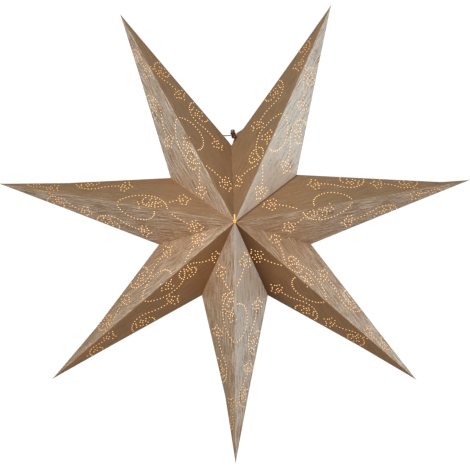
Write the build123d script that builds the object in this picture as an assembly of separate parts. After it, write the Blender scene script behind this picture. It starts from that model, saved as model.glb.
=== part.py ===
from build123d import *
from math import cos, hypot, radians, sin
import os

os.makedirs("parts", exist_ok=True)

# Seven-pointed star lantern of folded card, in mm.
# Z is up, the front faces -Y, and the mid-plane XZ holds every tip and notch.
TIP_RADIUS = 315.0  # star centre to the tip of a point
NOTCH_RADIUS = 104.0  # star centre to the notch between two points
CENTRE_DEPTH = 100.0  # mid-plane to the front centre, and to the back centre
CARD = 0.4  # thickness of the card
CENTRE_TRIM = 1.5  # snipped inner corner of a point, from the star's axis

FLAP_WIDTH = 9.0  # glue flap, measured square to its valley
FLAP_INSET = 12.0  # bare length of valley at each end of a flap

SEAM_GAP = 0.2  # closing seam between the flaps of the two top points
SLIT_WIDTH = 2.4  # snipped corners of the seam at the front and back centres
SLIT_RISE = 8.4  # height of that snip above the star's centre
INLET_WIDTH = 5.0  # cord inlet at the top notch, across the seam
INLET_FRONT = 1.0  # reach of the cord inlet in front of the mid-plane
INLET_BACK = 8.0  # reach behind it, where a cord passes the tie

# One pricked scroll on the front of each point, a chain of arcs that meet smoothly.
PIN_HOLE = 1.5  # pricked hole, measured over its corners
PIN_SIDES = 6
PIN_PITCH = 5.2  # spacing of the holes along a scroll
PIN_MARGIN = 1.6  # bare card beside a ridge, a fold or a valley
SCROLL_START = 60.0  # start of a scroll, from the front centre along the ridge
SCROLL_ASIDE = 24.0  # the same start, sideways from the ridge
SCROLL_HEADING = 205.0  # degrees at the start, with 0 towards the centre
SCROLL_RADII = (80.0, 36.0, 26.0, 14.0)  # radii of the arcs
SCROLL_SWEEPS = (36.0, -118.0, -196.0, -100.0)  # degrees that each arc turns

TIE_RISE = 12.4  # height of the tie above the top notch
STRING = 1.2  # diameter of the tie's string
STRING_HOLE = 2.2  # diameter of the hole for it in each fold
END_KNOT = 3.2  # diameter of the knots inside the two top points
END_KNOT_LENGTH = 2.6
KNOT_PLAY = 0.05  # play between an end knot and the fold it bears on
BOW_KNOT = 5.4  # diameter of the knot between the two top points
BOW_KNOT_LENGTH = 6.0
BOW_OFFSET = 3.6  # that knot's distance from the middle, to the right
LOOP_RADIUS = 2.2  # small loop above the knot, to the middle of its string
TAIL_LENGTH = 6.2  # string end that hangs from the middle of the knot

OVERRUN = 5.0  # length by which a cut runs past the card
PAST_SHARE = 1.3  # reach of the hollow past the open base of a point
HALF_SHARE = 0.5

# Points in order from the closing seam, each with the lean of its tip in degrees.
POINTS = {
    "point_top_left": 0.5,
    "point_left": 0.75,
    "point_lower_left": -0.65,
    "point_bottom": -2.3,
    "point_lower_right": -4.6,
    "point_right": -4.8,
    "point_top_right": -0.5,
}
FULL_TURN = 360.0
QUARTER_TURN = 90.0
SEAM_ANGLE = QUARTER_TURN  # the seam runs straight up from the centre

CENTRE = Vector(0, 0, 0)
FRONT = Vector(0, -CENTRE_DEPTH, 0)
BACK = Vector(0, CENTRE_DEPTH, 0)


def on_midplane(radius, angle):
    """Place in the mid-plane, with the angle counted from +X towards +Z."""
    return Vector(radius * cos(radians(angle)), 0, radius * sin(radians(angle)))


def inward_normal(tip, a, b):
    """Unit normal of a point's panel, on the side of the star's centre."""
    normal = (a - tip).cross(b - tip).normalized()
    return normal if normal.dot(CENTRE - tip) > 0 else -normal


def folded_sheet(tip, first_notch, last_notch):
    """Four triangular panels folded round a tip and mitred along the valleys."""
    corners = [first_notch, FRONT, last_notch, BACK]
    outside = ConvexPolyhedron([tip, *corners])
    hollow = ConvexPolyhedron([tip] + [tip + (c - tip) * PAST_SHARE for c in corners])
    for a, b in zip(corners, corners[1:] + corners[:1]):
        normal = inward_normal(tip, a, b)
        inner_face = Plane(tip + normal * CARD, z_dir=normal)
        hollow = split(hollow, bisect_by=inner_face, keep=Keep.TOP)
    return outside - hollow


def valley_flap(notch, centre, side, clearance):
    """Flap turned in along the valley from a notch to a centre, with slanted ends."""
    along = (centre - notch).normalized()
    to_middle = CENTRE - notch
    inward = (to_middle - along * to_middle.dot(along)).normalized()
    start = notch + along * FLAP_INSET + side * clearance
    end = centre - along * FLAP_INSET + side * clearance
    outline = [
        start,
        end,
        end + (inward - along) * FLAP_WIDTH,
        start + (inward + along) * FLAP_WIDTH,
    ]
    return extrude(Face(Wire.make_polygon(outline)), amount=CARD, dir=side)


def scroll_places():
    """Evenly spaced places along a scroll: (towards the centre, sideways) on the sheet."""
    x, y = -SCROLL_START, SCROLL_ASIDE
    heading = radians(SCROLL_HEADING)
    places = [(x, y)]
    for radius, sweep in zip(SCROLL_RADII, SCROLL_SWEEPS):
        turn = radians(sweep)
        count = round(radius * abs(turn) / PIN_PITCH)
        half_turn = turn / count * HALF_SHARE
        chord = 2 * radius * sin(abs(half_turn))
        for _ in range(count):
            heading += half_turn
            x += chord * cos(heading)
            y += chord * sin(heading)
            heading += half_turn
            places.append((x, y))
    return places


def pin_cuts(tip, notch, side):
    """Pin holes of a scroll that fall on the front panel next to a notch."""
    ridge = (FRONT - tip).normalized()
    length = (FRONT - tip).length
    reach = (notch - tip).dot(ridge)
    across = notch - tip - ridge * reach
    width = across.length
    normal = inward_normal(tip, notch, FRONT)
    pin = extrude(
        RegularPolygon(PIN_HOLE * HALF_SHARE, PIN_SIDES), amount=2 * CARD, both=True
    )
    cuts = []
    for x, y in scroll_places():
        along = length + x
        aside = y * side
        fold_room = (along * width - aside * reach) / hypot(reach, width)
        valley_room = (-x * width - aside * (length - reach)) / hypot(length - reach, width)
        if min(aside, fold_room, valley_room) > PIN_MARGIN:
            place = tip + ridge * along + across.normalized() * aside
            cuts.append(Plane(place, z_dir=normal) * pin)
    return cuts


half_step = FULL_TURN / len(POINTS) * HALF_SHARE
tip_angles = [
    SEAM_ANGLE + (2 * i + 1) * half_step + lean for i, lean in enumerate(POINTS.values())
]
valley_angles = [(a + b) * HALF_SHARE for a, b in zip(tip_angles, tip_angles[1:])]
notch_angles = [SEAM_ANGLE, *valley_angles, SEAM_ANGLE + FULL_TURN]
tips = [on_midplane(TIP_RADIUS, angle) for angle in tip_angles]
notches = [on_midplane(NOTCH_RADIUS, angle) for angle in notch_angles]
top_notch = notches[0]


def fold_at_tie(tip):
    """Place where the tie meets the fold from the top notch to a tip."""
    rise_share = TIE_RISE / (tip.Z - top_notch.Z)
    return top_notch + (tip - top_notch) * rise_share


left_fold = fold_at_tie(tips[0])
right_fold = fold_at_tie(tips[-1])
across_depth = Rot(X=QUARTER_TURN)
across_width = Rot(Y=QUARTER_TURN)

inlet_middle = top_notch + Vector(0, (INLET_BACK - INLET_FRONT) * HALF_SHARE, 0)
inlet_depth = INLET_FRONT + INLET_BACK
inlet_cut = Pos(inlet_middle) * Box(INLET_WIDTH, inlet_depth, 2 * (inlet_depth + OVERRUN))
slit_cut = Box(SLIT_WIDTH, 2 * (CENTRE_DEPTH + OVERRUN), 2 * SLIT_RISE)
string_cut = across_width * Cylinder(STRING_HOLE * HALF_SHARE, 2 * OVERRUN)
seam_clearance = SEAM_GAP * HALF_SHARE

for i, name in enumerate(POINTS):
    tip, first_notch, last_notch = tips[i], notches[i], notches[i + 1]
    point = folded_sheet(tip, first_notch, last_notch)
    first_side = on_midplane(1, notch_angles[i] + QUARTER_TURN)
    last_side = on_midplane(1, notch_angles[i + 1] - QUARTER_TURN)
    is_first = i == 0
    is_last = i == len(POINTS) - 1

    # The first and the last point meet in the seam, around the slits and the cord inlet.
    if is_first or is_last:
        side = first_side if is_first else last_side
        seam_face = Plane(side * seam_clearance, z_dir=side)
        point = split(point, bisect_by=seam_face, keep=Keep.TOP)
        fold = left_fold if is_first else right_fold
        point -= [slit_cut, inlet_cut, Pos(fold) * string_cut]

    first_clearance = seam_clearance if is_first else 0
    last_clearance = seam_clearance if is_last else 0
    for centre in (FRONT, BACK):
        point += valley_flap(first_notch, centre, first_side, first_clearance)
        point += valley_flap(last_notch, centre, last_side, last_clearance)

    outward = tip.normalized()
    point = split(point, bisect_by=Plane(outward * CENTRE_TRIM, z_dir=outward), keep=Keep.TOP)

    # Scrolls turn left and right on every other point.
    hand = 1 if i % 2 else -1
    point -= pin_cuts(tip, first_notch, -hand) + pin_cuts(tip, last_notch, hand)
    export_step(point.solids()[0], f"parts/{name}.step")


def end_knot_face(fold, tip):
    """Middle of the face with which an end knot bears on the inside of a fold."""
    normal = inward_normal(tip, top_notch, FRONT)
    rim = END_KNOT * HALF_SHARE * hypot(normal.Y, normal.Z)
    return fold + Vector((CARD + KNOT_PLAY + rim) / normal.X, 0, 0)


def across_string(diameter, length):
    """Round piece along the tie's string, from side to side."""
    return across_width * Cylinder(diameter * HALF_SHARE, length)


knot_half = Vector(END_KNOT_LENGTH * HALF_SHARE, 0, 0)
left_end = end_knot_face(left_fold, tips[0]) - knot_half
right_end = end_knot_face(right_fold, tips[-1]) + knot_half
bow = Vector(BOW_OFFSET, 0, left_fold.Z)
string_radius = STRING * HALF_SHARE
loop_middle = bow + Vector(0, 0, BOW_KNOT * HALF_SHARE + LOOP_RADIUS)
tail_middle = bow - Vector(0, 0, TAIL_LENGTH * HALF_SHARE)

tie = Pos((left_end + right_end) * HALF_SHARE) * across_string(STRING, (right_end - left_end).X)
tie += [Pos(end) * across_string(END_KNOT, END_KNOT_LENGTH) for end in (left_end, right_end)]
tie += Pos(bow) * across_string(BOW_KNOT, BOW_KNOT_LENGTH)
loop = Cylinder(LOOP_RADIUS + string_radius, STRING)
loop -= Cylinder(LOOP_RADIUS - string_radius, STRING)
tie += Pos(loop_middle) * across_depth * loop
tie += Pos(tail_middle) * Cylinder(string_radius, TAIL_LENGTH)
export_step(tie.solids()[0], "parts/closing_tie.step")
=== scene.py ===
from collections import namedtuple
from math import cos, hypot, pi, radians, sin

import bmesh
import bpy
import numpy as np
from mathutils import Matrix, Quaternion, Vector, noise
from mathutils.geometry import delaunay_2d_cdt


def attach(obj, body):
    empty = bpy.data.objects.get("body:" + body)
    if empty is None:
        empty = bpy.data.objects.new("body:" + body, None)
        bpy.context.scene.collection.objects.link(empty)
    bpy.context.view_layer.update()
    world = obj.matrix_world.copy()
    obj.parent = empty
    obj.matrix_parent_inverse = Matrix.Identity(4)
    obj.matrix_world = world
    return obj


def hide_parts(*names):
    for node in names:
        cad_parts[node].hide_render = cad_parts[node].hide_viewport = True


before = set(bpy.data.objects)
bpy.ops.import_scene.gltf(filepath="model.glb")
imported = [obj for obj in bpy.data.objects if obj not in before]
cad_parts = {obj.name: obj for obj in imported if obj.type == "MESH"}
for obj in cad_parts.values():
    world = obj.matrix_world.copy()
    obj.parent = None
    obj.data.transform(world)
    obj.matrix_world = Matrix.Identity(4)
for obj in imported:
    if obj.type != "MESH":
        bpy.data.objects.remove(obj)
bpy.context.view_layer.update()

# Sizes of the star, in metres, as in its solids.
TIP_RADIUS = 0.315
NOTCH_RADIUS = 0.104
CENTRE_DEPTH = 0.100
CARD = 0.0004
CENTRE_TRIM = 0.0015
FLAP_WIDTH = 0.009
FLAP_INSET = 0.012
INLET_WIDTH = 0.005
INLET_FRONT = 0.001
INLET_BACK = 0.008
TIE_RISE = 0.0124
STRING_HOLE = 0.0022

# Sizes set for the looks: the closed seam, its snipped front corner and the depth of the string's holes.
SEAM_GAP = 0.00001
SEAM_TRIM = 0.0031
SLIT_WIDTH = 0.0014
SLIT_RISE = 0.0100
STRING_HOLE_DEPTH = 0.0005

# Angles in degrees. The closing seam runs straight up from the centre.
FULL_TURN = 360.0
QUARTER_TURN = 90.0
SEAM_ANGLE = QUARTER_TURN

# Points in order from the closing seam: lean of the tip and slant of the card's grain, in degrees,
# how far the first and the last fold are drawn in between tip and notch, in metres, and the share
# of silver in the grain of the first and the last half: partly the card's silver ink and partly
# painted sheen, a painted reflection of the lamps set for each half.
POINTS = {
    "point_top_left": (0.5, 2.0, 0.0004, 0.0004, 0.10, 0.57),
    "point_left": (0.75, -3.0, 0.0022, 0.0003, 0.12, 0.49),
    "point_lower_left": (-0.65, 10.0, 0.0032, 0.0003, 0.42, 0.0),
    "point_bottom": (-2.3, 1.0, 0.0040, 0.0006, 0.45, 0.68),
    "point_lower_right": (-4.6, 18.0, 0.0014, 0.0003, 0.0, 0.50),
    "point_right": (-4.8, -4.0, 0.0003, 0.0040, 0.49, 0.09),
    "point_top_right": (-0.5, 10.0, 0.0004, 0.0004, 0.76, 0.12),
}
# How much more silver a half has at the centre than at the tip, and at the ridge than at the fold,
# as painted sheen.
SHEEN_TILTS = {
    ("point_top_left", 1): (0.06, 0.0),
    ("point_left", 0): (0.0, 0.24),
    ("point_lower_left", 0): (0.10, 0.20),
    ("point_bottom", 0): (0.28, 0.12),
    ("point_bottom", 1): (0.26, 0.14),
    ("point_lower_right", 1): (-0.18, 0.0),
    ("point_top_right", 0): (0.28, 0.0),
}
# Where along a fold, from the tip, it is drawn in most.
USUAL_DRAWN_SHARE = 0.40
DRAWN_SHARES = {("point_right", 1): 0.17}
# How far the tie pulls out the fold on its right, and where that starts, is most and ends.
TIE_PULL = 0.0038
PULL_SHARES = (0.89, 0.925, 1.0)

# Rounded folds, the fineness of the mesh, the crown and the gentle waves of the card.
BEND = 0.0008
BEND_STEPS = 4
TIP_TAPER = 0.012
RIDGE_STEPS = 40
FOLD_STEPS = 60
MESH_STEP = 0.008
CROWN_SLOPE = 0.03
CROWN_FADE = 0.040
WAVE_HEIGHT = 0.0005
WAVE_RATE = 17.0
WAVE_EDGE = 0.030
WAVE_SHIFTS = (3.7, 1.3, 5.1)
FLAP_SET_BACK = 0.00003
CLOSED_BEND = CARD / 10
MERGE_DISTANCE = 1e-6
MESH_TOLERANCE = 1e-7
CARD_SHARP_ANGLE = 32

# Pin holes and the scrolls and flowers that they draw, in metres and degrees.
PIN_RADIUS = 0.00080
PIN_SIDES = 8
PIN_PITCH = 0.0044
PIN_CROWDING = 0.0034
PIN_MARGIN = 0.0008
PIN_KEEP_OFF = 3 * PIN_RADIUS
BARE_CENTRE = 0.044
BARE_INLET = 0.020
BACK_SHIFT = 0.010
SCROLL_ARCS = ((0.080, 36.0), (0.036, -118.0), (0.026, -196.0), (0.014, -100.0))
PETAL_LENGTH = 0.0125
PETAL_WIDTH = 0.0080
PETAL_PINS = 5
PETAL_ANGLE = 62.0
PETAL_MIDDLE_SHARE = 0.66
PETAL_HALF_SHARE = 0.44
# Sprays on one side of a point: start from the centre, start aside, heading, hand, size,
# and the petals of the flowers at the start and at the end.
SPRAYS = (
    (0.060, 0.024, 205.0, 1, 1.0, 4, 3),
    (0.072, -0.030, 150.0, -1, 0.46, 3, 3),
    (0.124, 0.052, 190.0, 1, 0.60, 3, 3),
    (0.158, -0.042, 172.0, -1, 0.62, 3, 3),
    (0.204, 0.030, 200.0, 1, 0.46, 3, 3),
    (0.248, -0.010, 190.0, -1, 0.34, 3, 2),
)
# How far the sprays past the first move towards the tip, on each point in turn.
SPRAY_SHIFTS = (0.0, 0.014, -0.010, 0.006, -0.004, 0.011, -0.007)

# Valley lines by point and half: painted lamp light past the glue, or below zero a painted shadow
# line in the crease.
VALLEY_LINES = {
    ("point_top_left", 1): 1.0,
    ("point_left", 0): 1.0,
    ("point_lower_left", 1): 1.0,
    ("point_bottom", 0): 1.0,
    ("point_right", 1): -0.55,
}
# Reach of the painted shadow line in a crease.
CREASE_REACH = (0.0010, 0.0040)
# Painted shade: how dark a half gets in its valley, and by point and half where that isn't the usual.
USUAL_SHADE = 0.05
SHADES = {
    ("point_top_left", 0): 0.32,
    ("point_left", 0): 0.15,
    ("point_lower_left", 1): 0.44,
    ("point_lower_right", 0): 0.96,
    ("point_lower_right", 1): 0.30,
    ("point_right", 1): 0.20,
}
SHADE_REACH = 0.050
FAR_SHADE_SHARE = 0.35

# The closing tie: its string, the knots and coils, the loop and the tail, in metres.
TIE_HEIGHT = NOTCH_RADIUS + TIE_RISE
LEFT_HOLE = Vector((-0.0097, -0.0001, TIE_HEIGHT))
RIGHT_HOLE = Vector((0.0065, -0.0004, TIE_HEIGHT + 0.0014))
TIE_SAG = 0.0004
TIE_SAG_SHARE = 0.3
STRING_RADIUS = 0.00075
STRING_STEP = 0.0003
STRING_SIDES = 12
STRING_LAY = 0.0030
STRANDS = 3
STRAND_DEPTH = 0.28
COIL_STEPS = 14
COIL_UNEVEN = 0.10
COIL_WOBBLE = 2.3
STRING_SHARP_ANGLE = 60
END_KNOT_RADIUS = 0.0008
END_KNOT_TURNS = 1.4
END_KNOT_DEPTH = 0.0044
KNOT_RISE = 0.0010
KNOT_MIDDLE = Vector((0.0029, -0.0060, TIE_HEIGHT + KNOT_RISE))
KNOT_LEAN = Vector((-0.25, 0.1, 1.0))
KNOT_RADIUS = 0.0025
KNOT_TURNS = 4.4
KNOT_START = 0.6
LOOP_OFFSET = Vector((-0.0004, 0.0, 0.0047))
LOOP_WIDTH = 0.0044
LOOP_HEIGHT = 0.0015
LOOP_POINTS = 12
HITCH_OFFSET = Vector((0.0013, 0.0, -0.0042))
HITCH_LEAN = Vector((0.5, 0.3, 1.0))
HITCH_RADIUS = 0.0021
HITCH_TURNS = 2.8
HITCH_START = 2.0
TAIL_BEND = Vector((0.0003, -0.0003, -0.0018))
TAIL_END = Vector((-0.0003, 0.0, -0.0046))

# Colours, in linear light.
CARD_DARK = (0.285, 0.172, 0.088)
CARD_LIGHT = (0.47, 0.308, 0.178)
# Redder, darker browns: painted shade on halves with no silver.
SHADED_CARD_DARK = (0.290, 0.150, 0.062)
SHADED_CARD_LIGHT = (0.48, 0.265, 0.126)
# Paler browns: painted light on silvery halves.
LIT_CARD_DARK = (0.37, 0.235, 0.135)
LIT_CARD_LIGHT = (0.60, 0.415, 0.265)
CARD_BRONZE = (0.98, 0.76, 0.55)
# Silver of the flecks, partly painted sheen.
CARD_SILVER_SHEEN = (0.88, 0.81, 0.70)
CARD_SHADE = (0.035, 0.012, 0.004)
LAMP_ORANGE = (1.0, 0.34, 0.07)
LAMP_PALE = (1.0, 0.61, 0.26)
LAMP_GOLD = (1.0, 0.49, 0.15)
LAMP_FLAME = (1.0, 0.45, 0.07)
STRING_DARK = (0.030, 0.008, 0.003)
STRING_LIGHT = (0.340, 0.120, 0.028)
INSIDE_COLOUR = (0.26, 0.19, 0.11)
FLOOR_COLOUR = (0.8, 0.8, 0.8)
AMBIENT_COLOUR = (1.0, 0.93, 0.85)
WHITE = (1.0, 1.0, 1.0)
COOL_WHITE = (0.93, 0.98, 1.0)

# The card's grain: scales of its long and its short flecks along and across the sheet, and its bends.
LONG_GRAIN = (38.0, 860.0)
SHORT_GRAIN = (280.0, 960.0)
SHORT_GRAIN_SHARE = 0.30
GRAIN_DETAIL = 2.0
GRAIN_BEND = {"Scale": 26.0, "Detail": 1.0}
GRAIN_WAVE = 0.010
BROWN_GRAIN = (0.36, 0.64)
SILVER_GRAIN = (0.46, 0.62)
SILVER_SPAN = 0.40
# Shares of silver over which the redder brown of painted shade turns plain brown, plain brown turns
# the paler brown of painted light, and bronze flecks turn silver.
SHADED_TO_PLAIN = (0.0, 0.08)
PLAIN_TO_LIT = (0.15, 0.40)
BRONZE_TO_SILVER = (0.46, 0.68)
# Gloss and relief of the card, from brown to silver where there are two values.
CARD_ROUGHNESS = 0.6
CARD_SPECULAR = 0.2
COAT_WEIGHTS = (0.05, 1.0)
COAT_ROUGHNESSES = (0.45, 0.36)
COAT_IOR = 2.0
CARD_BUMP = {"Strength": 0.3, "Distance": 0.0004}
INSIDE_ROUGHNESS = 0.8
# Painted lamp light, as glow on the card: soaking through near the centre, past the glue of a valley,
# inside and behind the slit.
GLOW_REACH = (0.085, 0.150)
GLOW_STRENGTH = 0.040
LEAK_REACH = (0.0003, 0.0012)
LEAK_STRENGTH = 0.10
LAMP_REACH = (0.09, 0.30)
LAMP_STRENGTHS = (1.65, 1.10)
GOLD_REACH = (0.10, 0.28)
FLAME_REACH = (0.004, 0.016)
FLAME_SHARE = 0.60
# The string's fibres, and its roughness from dark to light.
FIBRE_SCALE = (900.0, 14.0, 1.0)
FIBRE_DETAIL = 3.0
FIBRE_RANGE = (0.35, 0.70)
STRING_ROUGHNESSES = (0.9, 0.7)
STRING_BUMP = {"Strength": 0.5, "Distance": 0.0001}

# Studio: name, place, aim, width, height, power and colour of each softbox, then the rest.
SOFTBOXES = (
    ("right_softbox", (0.95, 0.42, 0.02), (0, 0.10, 0), 0.70, 1.0, 2.6, COOL_WHITE),
    ("left_softbox", (-0.95, 0.42, 0.08), (0, 0.10, 0), 0.70, 1.1, 1.5, COOL_WHITE),
    ("front_fill", (-0.1, -2.2, 0.85), (0, 0, 0), 1.2, 1.2, 36.0, WHITE),
    ("back_fill", (0.0, 2.2, 0.6), (0, 0, 0), 1.2, 1.2, 30.0, WHITE),
)
AMBIENT_STRENGTH = 0.18
BACKDROP_STRENGTH = 1.05
FLOOR_SIZE = 3.0
FLOOR_DROP = 1.2
FLOOR_ROUGHNESS = 0.9

# Camera, from a fit of the tips, the notches and the front centre.
CAMERA_DISTANCE = 2.205
CAMERA_DROP = 0.046
CAMERA_LENS_MM = 128.5
CAMERA_SENSOR_MM = 36.0
CAMERA_ROLL = -2.47
CAMERA_AIM = Vector((-0.0005, 0.0, -0.0149))

FRONT = Vector((0, -CENTRE_DEPTH, 0))
BACK = Vector((0, CENTRE_DEPTH, 0))


def on_midplane(radius, angle):
    """Place in the star's mid-plane, with the angle counted from +X towards +Z."""
    return Vector((radius * cos(radians(angle)), 0, radius * sin(radians(angle))))


# The pricked pattern


def scroll(x, y, heading, hand, size):
    """Evenly spaced places along a chain of arcs that curls in on itself, and its last heading."""
    heading = radians(heading)
    places = [(x, y)]
    for radius, sweep in SCROLL_ARCS:
        turn = radians(sweep) * hand
        count = max(1, round(radius * size * abs(turn) / PIN_PITCH))
        half_turn = turn / count / 2
        chord = 2 * radius * size * sin(abs(half_turn))
        for _ in range(count):
            heading += half_turn
            x += chord * cos(heading)
            y += chord * sin(heading)
            heading += half_turn
            places.append((x, y))
    return places, heading


def flower(x, y, heading, petals):
    """Petals fanned out from a place, each a narrow loop of pin holes."""
    places = []
    for petal in range(petals):
        angle = heading + radians(PETAL_ANGLE) * (petal - (petals - 1) / 2)
        for pin in range(PETAL_PINS):
            turn = 2 * pi * (pin + 0.5) / PETAL_PINS
            along = PETAL_LENGTH * (PETAL_MIDDLE_SHARE - PETAL_HALF_SHARE * cos(turn))
            aside = PETAL_WIDTH / 2 * sin(turn)
            places.append(
                (
                    x + along * cos(angle) - aside * sin(angle),
                    y + along * sin(angle) + aside * cos(angle),
                )
            )
    return places


def pins_on_side(length, shift, hand):
    """Pin holes on the front or back of a point: along the ridge from the tip, and aside."""
    chains, flowers = [], []
    for k, (from_centre, aside, heading, turn, size, at_start, at_end) in enumerate(SPRAYS):
        start = (length - from_centre - (shift if k else 0), aside)
        places, last_heading = scroll(*start, heading, turn, size)
        chains += places
        flowers += flower(*start, radians(heading) + pi, at_start)
        flowers += flower(*places[-1], last_heading, at_end)
    kept = []
    for x, y in chains + flowers:
        if all(hypot(x - a, y - b) > PIN_CROWDING for a, b in kept):
            kept.append((x, y))
    return [(x, y * hand) for x, y in kept]


# The folded card


def clipped(outline, line, tag):
    """Outline of (place, tag of the edge after it), cut by a line (a, b, c) to its positive side."""
    a, b, c = line
    sides = [a * p.x + b * p.y + c for p, _ in outline]
    kept = []
    for i, (p, edge) in enumerate(outline):
        j = (i + 1) % len(outline)
        if sides[i] >= 0:
            kept.append((p, edge))
        if (sides[i] >= 0) != (sides[j] >= 0):
            cut = p.lerp(outline[j][0], sides[i] / (sides[i] - sides[j]))
            kept.append((cut, tag if sides[i] >= 0 else edge))
    return kept


def meeting(line, other):
    """Place where two lines (a, b, c) meet."""
    (a, b, c), (d, e, f) = line, other
    span = a * e - b * d
    return Vector(((b * f - c * e) / span, (c * d - a * f) / span))


def smooth(share):
    """Smooth step of a share from 0 to 1."""
    share = min(1, max(0, share))
    return share * share * (3 - 2 * share)


# Half of a point, on one side of its ridges: its notch, the side of its valleys that it lies on,
# its seam, its fold and its looks, with their painted sheen, painted valley lines and painted shade.
Half = namedtuple(
    "Half", "notch side at_seam hand drawn_in drawn_share pull silver tilt valley_light shade"
)


class Panel:
    """One triangle of a point, with its own flat frame: x along the ridge, y aside from it."""

    def __init__(self, tip, centre, half):
        self.tip, self.half, self.bare_notch = tip, half, 0
        notch = half.notch
        self.length = (centre - tip).length
        self.ridge = (centre - tip) / self.length
        self.reach = (notch - tip).dot(self.ridge)
        across = notch - tip - self.ridge * self.reach
        self.width = across.length
        self.across = across / self.width
        normal = self.ridge.cross(self.across)
        self.flipped = normal.dot(tip) < 0
        self.normal = -normal if self.flipped else normal
        aside = notch - tip * notch.dot(tip) / tip.length_squared
        self.aside = aside.normalized()
        fold = hypot(self.reach, self.width)
        self.fold = Vector((self.reach, self.width)) / fold
        self.fold_line = (self.width / fold, -self.reach / fold, -BEND)
        base = self.length - self.reach
        valley = hypot(base, self.width)
        self.valley_line = (-self.width / valley, -base / valley, self.length * self.width / valley)
        self.outline = [
            (Vector((0, 0)), "fold"),
            (Vector((self.reach, self.width)), "valley"),
            (Vector((self.length, 0)), "ridge"),
        ]
        self.clip(self.fold_line, "fold")
        self.clip((0, 1, -BEND), "ridge")

    def clip(self, line, tag):
        self.outline = clipped(self.outline, line, tag)

    def line(self, normal, place):
        """Line on the panel where a plane in space cuts it."""
        return normal.dot(self.ridge), normal.dot(self.across), normal.dot(self.tip - place)

    def corner(self, before, after):
        """Index of the corner between two kinds of edge."""
        tags = [tag for _, tag in self.outline]
        return next(i for i, tag in enumerate(tags) if tag == after and tags[i - 1] == before)

    def replace_corner(self, before, after, new):
        i = self.corner(before, after)
        self.outline = self.outline[:i] + new + self.outline[i + 1 :]

    def close_tip(self):
        """Brings the two rounded folds together in the tip."""
        self.hull = [p for p, _ in self.outline]
        fold_start = self.fold * TIP_TAPER + Vector(self.fold_line[:2]) * BEND
        ridge_end = Vector((TIP_TAPER, BEND))
        ends = [(ridge_end, "ridge"), (Vector((0, 0)), "fold"), (fold_start, "fold")]
        self.replace_corner("ridge", "fold", ends)
        first = self.corner("ridge", "fold")
        self.outline = self.outline[first:] + self.outline[:first]

    def cut_inlet(self, side, inlet_reach):
        """Snips the cord inlet and the tie's hole at the notch."""
        self.bare_notch = BARE_INLET
        across, up = Vector((1, 0, 0)), Vector((0, 0, 1))
        slot = self.line(across, across * side * INLET_WIDTH / 2)
        seam = self.line(across, across * side * SEAM_GAP / 2)
        depth = self.line(Vector((0, 1, 0)), Vector((0, inlet_reach, 0)))
        hole = []
        for share in (0.5, -0.5):
            level = self.line(up, up * (TIE_HEIGHT + share * STRING_HOLE))
            hole.append(meeting(self.fold_line, level))
        inward = Vector(self.fold_line[:2]) * STRING_HOLE_DEPTH
        inlet_corner = [
            (hole[0], "hole"),
            (hole[0] + inward, "hole"),
            (hole[1] + inward, "hole"),
            (hole[1], "fold"),
            (meeting(self.fold_line, slot), "inlet"),
            (meeting(slot, depth), "inlet"),
            (meeting(depth, seam), "seam"),
        ]
        self.replace_corner("fold", "seam", inlet_corner)

    def cut_slit(self, side, trim):
        """Snips the corner at the front centre, where light shows."""
        across, up = Vector((1, 0, 0)), Vector((0, 0, 1))
        seam = self.line(across, across * side * SEAM_GAP / 2)
        slit = self.line(across, across * side * SLIT_WIDTH / 2)
        slit_top = self.line(up, up * SLIT_RISE)
        slit_corner = [
            (meeting(seam, slit_top), "slit"),
            (meeting(slit_top, slit), "slit"),
            (meeting(slit, trim), "trim"),
        ]
        self.replace_corner("seam", "trim", slit_corner)

    def room(self, x, y):
        """Distance from a place inside the panel to its nearest edge."""
        least = self.length
        for p, q in zip(self.hull, self.hull[1:] + self.hull[:1]):
            edge = q - p
            least = min(least, abs(edge.x * (y - p.y) - edge.y * (x - p.x)) / edge.length)
        return least

    def inside(self, x, y):
        """True for a place within the panel's outline."""
        sides = [
            (q.x - p.x) * (y - p.y) - (q.y - p.y) * (x - p.x)
            for p, q in zip(self.hull, self.hull[1:] + self.hull[:1])
        ]
        return min(sides) > 0 or max(sides) < 0

    def bare(self, x, y):
        """True for a place near the centre or the cord inlet, where the card isn't pricked."""
        from_notch = hypot(x - self.reach, y - self.width)
        return hypot(x - self.length, y) < BARE_CENTRE or from_notch < self.bare_notch

    def distance(self, line, x, y):
        return line[0] * x + line[1] * y + line[2]

    def silver_and_sheen_at(self, x, y):
        """Share of silver in the grain at a place, partly painted sheen."""
        along, aside = self.half.tilt
        from_fold = max(0, self.distance(self.fold_line, x, y))
        to_fold = y / (y + from_fold + BEND)
        return self.half.silver + along * (x / self.length - 0.5) + aside * (0.5 - to_fold)

    def rise(self, x, y, wave):
        """Height of the crowned and slightly wavy card over the flat panel."""
        from_ridge = y - BEND
        from_fold = self.distance(self.fold_line, x, y)
        width = from_ridge + from_fold
        crown = CROWN_SLOPE * from_ridge * from_fold / width
        crown *= smooth(self.distance(self.valley_line, x, y) / CROWN_FADE)
        swell = noise.noise(Vector((x, y * self.half.hand, 0)) * WAVE_RATE + wave)
        return crown + WAVE_HEIGHT * smooth(self.room(x, y) / WAVE_EDGE) * swell

    def place(self, x, y, rise):
        """Place in space, with the fold drawn in along its way and pulled out beside the tie."""
        half = self.half
        share = x / self.reach
        moved = 0
        if 0 < share < 1:
            drawn = min(share / half.drawn_share, (1 - share) / (1 - half.drawn_share))
            start, middle, end = PULL_SHARES
            pulled = min((share - start) / (middle - start), (end - share) / (end - middle))
            moved = half.pull * max(0, pulled) - half.drawn_in * drawn
            moved *= y / (self.width * share)
        return self.tip + self.ridge * x + self.across * y + self.normal * rise + self.aside * moved


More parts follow.
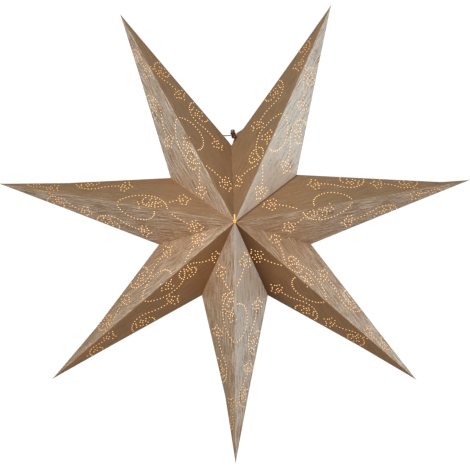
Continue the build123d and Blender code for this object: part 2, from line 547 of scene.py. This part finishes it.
def divided(outline):
    """Outline with its long edges divided: the same number of steps on both sides of a fold."""
    steps = {"fold": FOLD_STEPS, "ridge": RIDGE_STEPS}
    border = []
    for i, (p, tag) in enumerate(outline):
        q = outline[(i + 1) % len(outline)][0]
        length = (q - p).length
        count = max(1, round(length / MESH_STEP))
        if tag in steps and length > 2 * TIP_TAPER:
            count = steps[tag]
        border += [(p.lerp(q, k / count), tag) for k in range(count)]
    return border


def runs_along(tags, wanted):
    """Runs of border places along the edges of one kind."""
    runs = []
    for i, tag in enumerate(tags):
        if tag == wanted:
            if not runs or runs[-1][-1] != i:
                runs.append([i])
            runs[-1].append((i + 1) % len(tags))
    return runs


def solved(rows):
    """Least offset that moves each plane (normal, distance) of the rows by its distance."""
    normals = np.array([list(normal) for normal, _ in rows])
    distances = np.array([distance for _, distance in rows])
    return Vector(np.linalg.lstsq(normals, distances, rcond=None)[0])


class Sheet:
    """Mesh of one point: pricked panels, rounded folds, cut edges and glue flaps."""

    OUTSIDE, INSIDE = 0, 1

    def __init__(self, grain):
        self.bm = bmesh.new()
        self.uv = self.bm.loops.layers.uv.new("sheet")
        # Vertex values: valley distance, silver share with painted sheen, painted valley lines, painted
        # shade.
        self.valley = self.bm.verts.layers.float.new("valley")
        self.silver = self.bm.verts.layers.float.new("silver")
        self.leak = self.bm.verts.layers.float.new("leak")
        self.shade = self.bm.verts.layers.float.new("shade")
        self.turn = (cos(radians(grain)), sin(radians(grain)))

    def add_vertex(self, place, x, y, panel=None):
        """New vertex, with its place on the sheet turned to the card's grain."""
        vertex = self.bm.verts.new(place)
        if panel:
            # Painted looks of the half: its sheen, its valley light and shadow line, and its shade.
            aside = y * panel.half.hand
            vertex[self.valley] = panel.distance(panel.valley_line, x, aside)
            vertex[self.silver] = panel.silver_and_sheen_at(x, aside)
            vertex[self.leak] = panel.half.valley_light
            vertex[self.shade] = panel.half.shade
        c, s = self.turn
        return vertex, (c * x + s * y, c * y - s * x)

    def add_face(self, corners, side, flipped):
        if flipped:
            corners = corners[::-1]
        face = self.bm.faces.new([vertex for vertex, _ in corners])
        face.material_index = side
        face.smooth = True
        for loop, (_, uv) in zip(face.loops, corners):
            loop[self.uv].uv = uv

    def add_panel(self, panel, pins, tip_inset, valley_side, wave):
        """One panel with its pin holes, and the pairs of outer and inner vertices on its border."""
        hand = panel.half.hand
        border = divided(panel.outline)
        tags = [tag for _, tag in border]
        points = [p for p, _ in border]
        edges = [(i, (i + 1) % len(border)) for i in range(len(border))]
        holes = []
        for x, y in pins:
            y *= hand
            roomy = panel.inside(x, y) and panel.room(x, y) > PIN_RADIUS + PIN_MARGIN
            if roomy and not panel.bare(x, y):
                holes.append((x, y))
        for x, y in holes:
            first = len(points)
            for k in range(PIN_SIDES):
                angle = 2 * pi * k / PIN_SIDES
                points.append(Vector((x + PIN_RADIUS * cos(angle), y + PIN_RADIUS * sin(angle))))
                edges.append((first + k, first + (k + 1) % PIN_SIDES))
        for i in range(int(panel.length / MESH_STEP)):
            for j in range(int(panel.width / MESH_STEP) + 1):
                x, y = (i + j % 2 / 2) * MESH_STEP, j * MESH_STEP
                near = any(hypot(x - a, y - b) < PIN_KEEP_OFF for a, b in holes)
                if panel.inside(x, y) and panel.room(x, y) > MESH_STEP / 2 and not near:
                    points.append(Vector((x, y)))

        places, _, triangles, origins, _, _ = delaunay_2d_cdt(points, edges, [], 1, MESH_TOLERANCE)
        order = [origin[0] for origin in origins]
        outer, inner = {}, {}
        for index, p in zip(order, places):
            on_border = index < len(border)
            place = panel.place(*p, 0 if on_border else panel.rise(*p, wave))
            inset = -panel.normal * CARD
            if index == 0:
                inset = tip_inset
            elif on_border and "valley" in (tags[index], tags[index - 1]):
                inset = solved([(panel.normal, -CARD), (valley_side, 0)])
            outer[index] = self.add_vertex(place, p.x, p.y * hand, panel)
            inner[index] = self.add_vertex(place + inset, p.x, p.y * hand)

        last_ring = len(border) + len(holes) * PIN_SIDES
        for triangle in triangles:
            corners = [order[k] for k in triangle]
            in_rings = all(len(border) <= i < last_ring for i in corners)
            rings = {(i - len(border)) // PIN_SIDES for i in corners}
            if in_rings and len(rings) == 1:
                continue
            self.add_face([outer[i] for i in corners], self.OUTSIDE, panel.flipped)
            self.add_face([inner[i] for i in corners], self.INSIDE, not panel.flipped)
        for ring in range(len(holes)):
            first = len(border) + ring * PIN_SIDES
            for k in range(PIN_SIDES):
                i, j = first + k, first + (k + 1) % PIN_SIDES
                wall = [outer[i], outer[j], inner[j], inner[i]]
                self.add_face(wall, self.INSIDE, panel.flipped)
        for i, tag in enumerate(tags):
            if tag not in ("fold", "ridge"):
                j = (i + 1) % len(border)
                wall = [outer[i], outer[j], inner[j], inner[i]]
                self.add_face(wall, self.OUTSIDE, panel.flipped)
        return {
            tag: [[(outer[i], inner[i]) for i in run] for run in runs_along(tags, tag)]
            for tag in ("fold", "ridge")
        }

    def add_bend(self, run, other, normal, other_normal):
        """Rounded fold between two panels, along matching runs of their borders."""
        turn = normal.rotation_difference(other_normal)
        rings = []
        for (a_out, a_in), (b_out, b_in) in zip(run, other):
            a, b = a_out[0].co, b_out[0].co
            if (a - b).length < CLOSED_BEND:
                rings.append([(a_out, a_in)])
                continue
            radius = (a - b).length / 2 / sin(turn.angle / 2)
            middle = (a - normal * radius + b - other_normal * radius) / 2
            ring = [(a_out, a_in)]
            for k in range(1, BEND_STEPS):
                share = k / BEND_STEPS
                spoke = Quaternion(turn.axis, turn.angle * share) @ normal
                uv = [u + (v - u) * share for u, v in zip(a_out[1], b_out[1])]
                pair = []
                for reach in (radius, radius - CARD):
                    vertex = self.bm.verts.new(middle + spoke * reach)
                    near = a_out[0] if share < 0.5 else b_out[0]
                    for layer in (self.valley, self.silver, self.leak, self.shade):
                        vertex[layer] = near[layer]
                    pair.append((vertex, uv))
                ring.append(tuple(pair))
            rings.append(ring + [(b_out, b_in)])
        along = rings[-1][0][0][0].co - rings[0][0][0][0].co
        flipped = along.cross(turn.axis.cross(normal)).dot(normal) < 0
        for ring, after in zip(rings, rings[1:]):
            for k in range(BEND_STEPS):
                if len(ring) == 1:
                    quads = [[ring[0][s], after[k][s], after[k + 1][s]] for s in (0, 1)]
                else:
                    quads = [
                        [ring[k][s], after[k][s], after[k + 1][s], ring[k + 1][s]] for s in (0, 1)
                    ]
                self.add_face(quads[0], self.OUTSIDE, flipped)
                self.add_face(quads[1], self.INSIDE, not flipped)
        for ring, turned in ((rings[0], flipped), (rings[-1], not flipped)):
            for (a_out, a_in), (b_out, b_in) in zip(ring, ring[1:]):
                self.add_face([a_out, b_out, b_in, a_in], self.OUTSIDE, turned)

    def add_flap(self, notch, centre, side, clearance):
        """Flap turned in along a valley, with slanted ends."""
        along = (centre - notch).normalized()
        inward = (-notch - along * (-notch).dot(along)).normalized()
        start = notch + along * FLAP_INSET + inward * CARD
        end = centre - along * FLAP_INSET + inward * CARD
        corners = [
            start,
            end,
            end + (inward - along) * FLAP_WIDTH,
            start + (inward + along) * FLAP_WIDTH,
        ]
        flat = [((p - notch).dot(along), (p - notch).dot(inward)) for p in corners]
        near_side = side * (clearance + FLAP_SET_BACK)
        far_side = side * (clearance + CARD)
        near = [self.add_vertex(p + near_side, *f) for p, f in zip(corners, flat)]
        far = [self.add_vertex(p + far_side, *f) for p, f in zip(corners, flat)]
        flipped = along.cross(inward).dot(side) > 0
        self.add_face(near, self.INSIDE, flipped)
        self.add_face(far, self.INSIDE, not flipped)
        for k in range(len(corners)):
            n = (k + 1) % len(corners)
            self.add_face([near[k], far[k], far[n], near[n]], self.INSIDE, flipped)

    def finish(self, name, materials):
        bmesh.ops.remove_doubles(self.bm, verts=self.bm.verts, dist=MERGE_DISTANCE)
        loose = [vertex for vertex in self.bm.verts if not vertex.link_faces]
        bmesh.ops.delete(self.bm, geom=loose, context="VERTS")
        return new_piece(self.bm, name, materials, CARD_SHARP_ANGLE)


def new_piece(bm, name, materials, sharp_angle):
    """Object with the finished mesh, linked into the scene."""
    mesh = bpy.data.meshes.new(name)
    bm.to_mesh(mesh)
    bm.free()
    mesh.set_sharp_from_angle(angle=radians(sharp_angle))
    for material in materials:
        mesh.materials.append(material)
    piece = bpy.data.objects.new(name, mesh)
    bpy.context.scene.collection.objects.link(piece)
    return piece


def halves_of(i, name, notches, notch_angles):
    """The first and the last half of a point."""
    _, _, first_drawn, last_drawn, first_silver_and_sheen, last_silver_and_sheen = POINTS[name]
    drawn_in = (first_drawn, last_drawn)
    silver = (first_silver_and_sheen, last_silver_and_sheen)
    at_seam = (i == 0, i == len(POINTS) - 1)
    pulls = (0, TIE_PULL if at_seam[1] else 0)
    return [
        Half(
            notch=notches[i + e],
            side=on_midplane(1, notch_angles[i + e] - hand * QUARTER_TURN),
            at_seam=at_seam[e],
            hand=hand,
            drawn_in=drawn_in[e],
            drawn_share=DRAWN_SHARES.get((name, e), USUAL_DRAWN_SHARE),
            pull=pulls[e],
            silver=silver[e],
            tilt=SHEEN_TILTS.get((name, e), (0, 0)),
            valley_light=VALLEY_LINES.get((name, e), 0),
            shade=SHADES.get((name, e), USUAL_SHADE),
        )
        for e, hand in enumerate((-1, 1))
    ]


def cut_panel(tip, centre, half, centre_trim):
    """One panel with its corners snipped at the centre, and at the seam if it lies there."""
    outward = tip.normalized()
    at_front = centre == FRONT
    panel = Panel(tip, centre, half)
    trim = panel.line(outward, outward * centre_trim)
    panel.clip(trim, "trim")
    if half.at_seam:
        panel.clip(panel.line(half.side, half.side * SEAM_GAP / 2), "seam")
    panel.close_tip()
    if half.at_seam:
        seam_side = 1 if tip.x > 0 else -1
        panel.cut_inlet(seam_side, -INLET_FRONT if at_front else INLET_BACK)
        if at_front:
            panel.cut_slit(seam_side, trim)
    return panel


def build_point(i, name, tips, notches, notch_angles, materials):
    """One folded sheet: four pricked panels, their folds and the flaps along its valleys."""
    halves = halves_of(i, name, notches, notch_angles)
    front_trim = SEAM_TRIM if any(half.at_seam for half in halves) else CENTRE_TRIM
    ends = ((FRONT, front_trim), (BACK, CENTRE_TRIM))
    panels = {}
    for e, half in enumerate(halves):
        for c, (centre, centre_trim) in enumerate(ends):
            panels[e, c] = cut_panel(tips[i], centre, half, centre_trim)
    tip_inset = solved([(panel.normal, -CARD) for panel in panels.values()])

    # Scrolls turn left and right on every other point, and the other way on its back.
    length = panels[0, 0].length
    hand = 1 if i % 2 else -1
    shift = SPRAY_SHIFTS[i]
    pins = (pins_on_side(length, shift, hand), pins_on_side(length, shift + BACK_SHIFT, -hand))
    _, grain, *_ = POINTS[name]
    sheet = Sheet(grain)
    along, aside, behind = WAVE_SHIFTS
    borders = {}
    for (e, c), panel in panels.items():
        wave = Vector((i * along, i * aside, c * behind))
        borders[e, c] = sheet.add_panel(panel, pins[c], tip_inset, halves[e].side, wave)
    for c in (0, 1):
        (run,), (other,) = borders[0, c]["ridge"], borders[1, c]["ridge"]
        sheet.add_bend(run[::-1], other[::-1], panels[0, c].normal, panels[1, c].normal)
    for e in (0, 1):
        for run, other in zip(borders[e, 0]["fold"], borders[e, 1]["fold"]):
            sheet.add_bend(run, other, panels[e, 0].normal, panels[e, 1].normal)
    for half in halves:
        for centre in (FRONT, BACK):
            sheet.add_flap(half.notch, centre, half.side, SEAM_GAP / 2 if half.at_seam else 0)
    return sheet.finish(name + "_card", materials)


# The closing tie


def curved(points):
    """Close places along a smooth curve through the given points."""
    padded = [2 * points[0] - points[1], *points, 2 * points[-1] - points[-2]]
    places = []
    for a, b, c, d in zip(padded, padded[1:], padded[2:], padded[3:]):
        steps = max(2, round((c - b).length / STRING_STEP))
        for k in range(steps):
            t = k / steps
            square = (a * 2 - b * 5 + c * 4 - d) * t**2
            cube = (b * 3 - a - c * 3 + d) * t**3
            places.append((b * 2 + (c - a) * t + square + cube) / 2)
    return places + [points[-1]]


def coil(middle, axis, radius, turns, start):
    """Turns of string side by side round an axis, slightly uneven as a hand ties them."""
    axis = axis.normalized()
    across = axis.orthogonal().normalized()
    steps = round(turns * COIL_STEPS)
    points = []
    for k in range(steps + 1):
        turn = k / COIL_STEPS
        spoke = Quaternion(axis, 2 * pi * turn + start) @ across
        uneven = 1 + COIL_UNEVEN * sin(COIL_WOBBLE * turn + start)
        points.append(middle + axis * (turn - turns / 2) * 2 * STRING_RADIUS + spoke * radius * uneven)
    return points


def add_string(bm, uv, points):
    """Twisted three-strand string along a curve, with closed ends."""
    places = curved(points)
    tangents = [(b - a).normalized() for a, b in zip(places, places[1:])]
    tangents.append(tangents[-1])
    across = tangents[0].orthogonal().normalized()
    run = 0.0
    rings = []
    for k, (place, tangent) in enumerate(zip(places, tangents)):
        if k:
            across = tangents[k - 1].rotation_difference(tangent) @ across
            run += (place - places[k - 1]).length
        ring = []
        for s in range(STRING_SIDES):
            angle = 2 * pi * s / STRING_SIDES
            reach = STRING_RADIUS * (1 - STRAND_DEPTH * (1 - cos(STRANDS * angle)) / 2)
            spoke = Quaternion(tangent, angle + 2 * pi * run / STRING_LAY) @ across
            ring.append(bm.verts.new(place + spoke * reach))
        rings.append((ring, run))
    for (ring, run), (after, run_after) in zip(rings, rings[1:]):
        for s in range(STRING_SIDES):
            n = (s + 1) % STRING_SIDES
            face = bm.faces.new([ring[s], ring[n], after[n], after[s]])
            face.smooth = True
            share, next_share = s / STRING_SIDES, (s + 1) / STRING_SIDES
            corners = ((run, share), (run, next_share), (run_after, next_share), (run_after, share))
            for loop, (along, turn) in zip(face.loops, corners):
                loop[uv].uv = (along, turn)
    bm.faces.new(rings[0][0][::-1])
    bm.faces.new(rings[-1][0])


def build_tie(material):
    """String through the two folds, knotted inside both points and tied between them."""
    bm = bmesh.new()
    uv = bm.loops.layers.uv.new("string")
    side, up = Vector((1, 0, 0)), Vector((0, 0, 1))
    left_end = LEFT_HOLE - side * END_KNOT_DEPTH
    right_end = RIGHT_HOLE + side * END_KNOT_DEPTH
    for end in (left_end, right_end):
        add_string(bm, uv, coil(end, side, END_KNOT_RADIUS, END_KNOT_TURNS, 0))
    in_knot = KNOT_MIDDLE - up * KNOT_RISE
    sag = LEFT_HOLE.lerp(in_knot, TIE_SAG_SHARE) - up * TIE_SAG
    add_string(bm, uv, [left_end, LEFT_HOLE, sag, in_knot, RIGHT_HOLE, right_end])
    add_string(bm, uv, coil(KNOT_MIDDLE, KNOT_LEAN, KNOT_RADIUS, KNOT_TURNS, KNOT_START))
    loop_middle = KNOT_MIDDLE + LOOP_OFFSET
    loop = [KNOT_MIDDLE]
    for k in range(LOOP_POINTS):
        angle = 2 * pi * (k + 0.5) / LOOP_POINTS
        aside = side * LOOP_WIDTH / 2 * sin(angle)
        loop.append(loop_middle - aside - up * LOOP_HEIGHT / 2 * cos(angle))
    add_string(bm, uv, loop + [KNOT_MIDDLE])
    hitch = KNOT_MIDDLE + HITCH_OFFSET
    add_string(bm, uv, coil(hitch, HITCH_LEAN, HITCH_RADIUS, HITCH_TURNS, HITCH_START))
    add_string(bm, uv, [KNOT_MIDDLE, hitch, hitch + TAIL_BEND, hitch + TAIL_END])
    return new_piece(bm, "closing_tie_string", [material], STRING_SHARP_ANGLE)


# Materials


def new_material(name):
    material = bpy.data.materials.new(name)
    material.use_nodes = True
    tree = material.node_tree
    return material, tree, tree.nodes["Principled BSDF"]


def add_node(tree, kind, inputs=(), **settings):
    """New node with its settings and with plain values on some of its inputs."""
    node = tree.nodes.new(kind)
    for key, value in settings.items():
        setattr(node, key, value)
    for key, value in dict(inputs).items():
        node.inputs[key].default_value = value
    return node


def ranged(tree, source, start, end, low, high, kind="LINEAR"):
    """A value of the source from start to end, mapped to low to high."""
    inputs = {"From Min": start, "From Max": end, "To Min": low, "To Max": high}
    node = add_node(tree, "ShaderNodeMapRange", inputs, interpolation_type=kind)
    tree.links.new(source, node.inputs["Value"])
    return node.outputs["Result"]


def mixed_colour(tree, factor, low, high):
    """Colour between two, each a plain colour or the output of a node, by a factor."""
    node = add_node(tree, "ShaderNodeMix", data_type="RGBA")
    tree.links.new(factor, node.inputs["Factor"])
    for socket, colour in ((node.inputs[6], low), (node.inputs[7], high)):
        if isinstance(colour, tuple):
            socket.default_value = (*colour, 1)
        else:
            tree.links.new(colour, socket)
    return node.outputs[2]


def calculated(tree, operation, first, second):
    node = add_node(tree, "ShaderNodeMath", operation=operation)
    tree.links.new(first, node.inputs[0])
    tree.links.new(second, node.inputs[1])
    return node.outputs["Value"]


def summed(tree, first, second):
    return calculated(tree, "ADD", first, second)


def multiplied(tree, first, second):
    return calculated(tree, "MULTIPLY", first, second)


def vertex_value(tree, name):
    """A value that the mesh carries on its vertices."""
    return add_node(tree, "ShaderNodeAttribute", attribute_name=name).outputs["Fac"]


def scaled_distance(tree, scale):
    """Length of the place in the star's frame, with each of its axes scaled."""
    place = add_node(tree, "ShaderNodeTexCoord")
    scaled = add_node(tree, "ShaderNodeVectorMath", operation="MULTIPLY")
    scaled.inputs[1].default_value = scale
    tree.links.new(place.outputs["Object"], scaled.inputs[0])
    length = add_node(tree, "ShaderNodeVectorMath", operation="LENGTH")
    tree.links.new(scaled.outputs["Vector"], length.inputs[0])
    return length.outputs["Value"]


def distance_from_centre(tree):
    return scaled_distance(tree, (1, 1, 1))


def distance_from_axis(tree):
    """Distance from the line through the front and the back centre."""
    return scaled_distance(tree, (1, 0, 1))


def card_material():
    """Brown card with a fine, wavy silver grain, painted sheen and painted shade, and painted lamp light
    soaking through it.
    """
    material, tree, shader = new_material("card_outside")
    link = tree.links.new
    sheet = add_node(tree, "ShaderNodeUVMap", uv_map="sheet")

    bend_noise = add_node(tree, "ShaderNodeTexNoise", GRAIN_BEND)
    link(sheet.outputs["UV"], bend_noise.inputs["Vector"])
    bend = add_node(tree, "ShaderNodeVectorMath", operation="MULTIPLY_ADD")
    bend.inputs[1].default_value = (0, GRAIN_WAVE, 0)
    link(bend_noise.outputs["Color"], bend.inputs[0])
    link(sheet.outputs["UV"], bend.inputs[2])

    def flecks(along, across):
        mapping = add_node(tree, "ShaderNodeMapping", {"Scale": (along, across, 1)})
        link(bend.outputs["Vector"], mapping.inputs["Vector"])
        texture = add_node(tree, "ShaderNodeTexNoise", {"Scale": 1.0, "Detail": GRAIN_DETAIL})
        link(mapping.outputs["Vector"], texture.inputs["Vector"])
        return texture.outputs["Fac"]

    blend = add_node(tree, "ShaderNodeMix", {"Factor": SHORT_GRAIN_SHARE}, data_type="FLOAT")
    link(flecks(*LONG_GRAIN), blend.inputs["A"])
    link(flecks(*SHORT_GRAIN), blend.inputs["B"])
    grain = blend.outputs["Result"]

    # Brown card under flecks of bronze or silver, both by the share of silver at a place: a redder,
    # darker brown is painted shade, a paler one painted light, and the silver flecks are partly painted
    # sheen.
    share = vertex_value(tree, "silver")
    out_of_shade = ranged(tree, share, *SHADED_TO_PLAIN, 0, 1)
    lit_share = ranged(tree, share, *PLAIN_TO_LIT, 0, 1)
    dark = mixed_colour(tree, lit_share, mixed_colour(tree, out_of_shade, SHADED_CARD_DARK, CARD_DARK), LIT_CARD_DARK)
    light = mixed_colour(tree, lit_share, mixed_colour(tree, out_of_shade, SHADED_CARD_LIGHT, CARD_LIGHT), LIT_CARD_LIGHT)
    brown = mixed_colour(tree, ranged(tree, grain, *BROWN_GRAIN, 0, 1), dark, light)
    offset = ranged(tree, share, 0, 1, -SILVER_SPAN / 2, SILVER_SPAN / 2)
    silver = ranged(tree, summed(tree, grain, offset), *SILVER_GRAIN, 0, 1, "SMOOTHSTEP")
    silvered = ranged(tree, share, *BRONZE_TO_SILVER, 0, 1)
    metal = mixed_colour(tree, silvered, CARD_BRONZE, CARD_SILVER_SHEEN)
    colour = mixed_colour(tree, silver, brown, metal)

    # Painted shade towards a valley, and a painted shadow line in its crease.
    valley = vertex_value(tree, "valley")
    valley_light = vertex_value(tree, "leak")
    depth = ranged(tree, valley, 0, SHADE_REACH, 1, FAR_SHADE_SHARE)
    shade = multiplied(tree, multiplied(tree, depth, depth), vertex_value(tree, "shade"))
    crease = ranged(tree, valley, *CREASE_REACH, 1, 0, "SMOOTHSTEP")
    crease_shadow = multiplied(tree, crease, ranged(tree, valley_light, -1, 0, 1, 0))
    darkness = summed(tree, shade, crease_shadow)
    link(mixed_colour(tree, darkness, colour, CARD_SHADE), shader.inputs["Base Color"])

    shader.inputs["Roughness"].default_value = CARD_ROUGHNESS
    shader.inputs["Specular IOR Level"].default_value = CARD_SPECULAR
    gloss = ranged(tree, silver, 0, 1, *COAT_WEIGHTS)
    # Less coat where the shade is painted.
    link(multiplied(tree, gloss, ranged(tree, darkness, 0, 1, 1, 0)), shader.inputs["Coat Weight"])
    shader.inputs["Coat IOR"].default_value = COAT_IOR
    link(ranged(tree, silver, 0, 1, *COAT_ROUGHNESSES), shader.inputs["Coat Roughness"])

    bump = add_node(tree, "ShaderNodeBump", CARD_BUMP)
    link(grain, bump.inputs["Height"])
    link(bump.outputs["Normal"], shader.inputs["Normal"])
    link(bump.outputs["Normal"], shader.inputs["Coat Normal"])

    # Painted glow: lamp light near the centre and past the glue of some valleys.
    shader.inputs["Emission Color"].default_value = (*LAMP_ORANGE, 1)
    glow = ranged(tree, distance_from_centre(tree), *GLOW_REACH, GLOW_STRENGTH, 0, "SMOOTHSTEP")
    leak = ranged(tree, valley, *LEAK_REACH, LEAK_STRENGTH, 0, "SMOOTHSTEP")
    light_line = multiplied(tree, leak, ranged(tree, valley_light, 0, 1, 0, 1))
    link(summed(tree, glow, light_line), shader.inputs["Emission Strength"])
    return material


def inside_material():
    """Pale inside of the card, aglow with painted lamp light that weakens and warms towards the tips."""
    material, tree, shader = new_material("card_inside")
    shader.inputs["Base Color"].default_value = (*INSIDE_COLOUR, 1)
    shader.inputs["Roughness"].default_value = INSIDE_ROUGHNESS
    distance = distance_from_centre(tree)
    far = ranged(tree, distance, *GOLD_REACH, 0, 1, "SMOOTHSTEP")
    off_axis = ranged(tree, distance_from_axis(tree), *FLAME_REACH, 0, 1)
    lamp = mixed_colour(tree, far, LAMP_PALE, LAMP_GOLD)
    tree.links.new(mixed_colour(tree, off_axis, LAMP_FLAME, lamp), shader.inputs["Emission Color"])
    strength = ranged(tree, distance, *LAMP_REACH, *LAMP_STRENGTHS, "SMOOTHSTEP")
    dimmed = multiplied(tree, strength, ranged(tree, off_axis, 0, 1, FLAME_SHARE, 1))
    tree.links.new(dimmed, shader.inputs["Emission Strength"])
    return material


def string_material():
    """Dark red-brown string with lighter fibres along its strands."""
    material, tree, shader = new_material("brown_string")
    place = add_node(tree, "ShaderNodeUVMap", uv_map="string")
    mapping = add_node(tree, "ShaderNodeMapping", {"Scale": FIBRE_SCALE})
    fibres = add_node(tree, "ShaderNodeTexNoise", {"Scale": 1.0, "Detail": FIBRE_DETAIL})
    tree.links.new(place.outputs["UV"], mapping.inputs["Vector"])
    tree.links.new(mapping.outputs["Vector"], fibres.inputs["Vector"])
    lightness = ranged(tree, fibres.outputs["Fac"], *FIBRE_RANGE, 0, 1)
    colour = mixed_colour(tree, lightness, STRING_DARK, STRING_LIGHT)
    tree.links.new(colour, shader.inputs["Base Color"])
    tree.links.new(ranged(tree, lightness, 0, 1, *STRING_ROUGHNESSES), shader.inputs["Roughness"])
    bump = add_node(tree, "ShaderNodeBump", STRING_BUMP)
    tree.links.new(fibres.outputs["Fac"], bump.inputs["Height"])
    tree.links.new(bump.outputs["Normal"], shader.inputs["Normal"])
    return material


# The star

card_sides = [card_material(), inside_material()]

half_step = FULL_TURN / len(POINTS) / 2
tip_angles = [
    SEAM_ANGLE + (2 * i + 1) * half_step + lean for i, (lean, *_) in enumerate(POINTS.values())
]
valley_angles = [(a + b) / 2 for a, b in zip(tip_angles, tip_angles[1:])]
notch_angles = [SEAM_ANGLE, *valley_angles, SEAM_ANGLE + FULL_TURN]
tips = [on_midplane(TIP_RADIUS, angle) for angle in tip_angles]
notches = [on_midplane(NOTCH_RADIUS, angle) for angle in notch_angles]

for i, name in enumerate(POINTS):
    piece = build_point(i, name, tips, notches, notch_angles, card_sides)
    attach(piece, "root")
    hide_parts(name)

tie = build_tie(string_material())
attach(tie, "root")
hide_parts("closing_tie")

# Stage, light and camera

scene = bpy.context.scene
scene.view_settings.view_transform = "Standard"

world = bpy.data.worlds.new("studio")
scene.world = world
world.use_nodes = True
sky = world.node_tree
ambient = sky.nodes["Background"]
ambient.inputs["Color"].default_value = (*AMBIENT_COLOUR, 1)
ambient.inputs["Strength"].default_value = AMBIENT_STRENGTH
plain_white = {"Color": (*WHITE, 1), "Strength": BACKDROP_STRENGTH}
backdrop = add_node(sky, "ShaderNodeBackground", plain_white)
either = add_node(sky, "ShaderNodeMixShader")
light_path = add_node(sky, "ShaderNodeLightPath")
sky.links.new(light_path.outputs["Is Camera Ray"], either.inputs["Fac"])
sky.links.new(ambient.outputs["Background"], either.inputs[1])
sky.links.new(backdrop.outputs["Background"], either.inputs[2])
sky.links.new(either.outputs["Shader"], sky.nodes["World Output"].inputs["Surface"])


def add_softbox(name, place, aim, width, height, power, colour):
    light = bpy.data.lights.new(name, "AREA")
    light.shape = "RECTANGLE"
    light.size = width
    light.size_y = height
    light.energy = power
    light.color = colour
    lamp = bpy.data.objects.new(name, light)
    lamp.location = place
    lamp.rotation_euler = (Vector(aim) - Vector(place)).to_track_quat("-Z", "Y").to_euler()
    lamp.visible_camera = False
    scene.collection.objects.link(lamp)


for softbox in SOFTBOXES:
    add_softbox(*softbox)

bpy.ops.mesh.primitive_plane_add(size=FLOOR_SIZE, location=(0, 0, -FLOOR_DROP))
floor = bpy.context.object
floor.name = "floor"
floor_material, _, floor_shader = new_material("floor")
floor_shader.inputs["Base Color"].default_value = (*FLOOR_COLOUR, 1)
floor_shader.inputs["Roughness"].default_value = FLOOR_ROUGHNESS
floor.data.materials.append(floor_material)

camera = bpy.data.objects.new("camera", bpy.data.cameras.new("camera"))
camera.data.lens = CAMERA_LENS_MM
camera.data.sensor_width = CAMERA_SENSOR_MM
camera.location = (0, -CAMERA_DISTANCE, -CAMERA_DROP)
aim = (CAMERA_AIM - camera.location).to_track_quat("-Z", "Y")
roll = Quaternion((0, 0, 1), radians(CAMERA_ROLL))
camera.rotation_euler = (aim @ roll).to_euler()
scene.collection.objects.link(camera)
scene.camera = camera
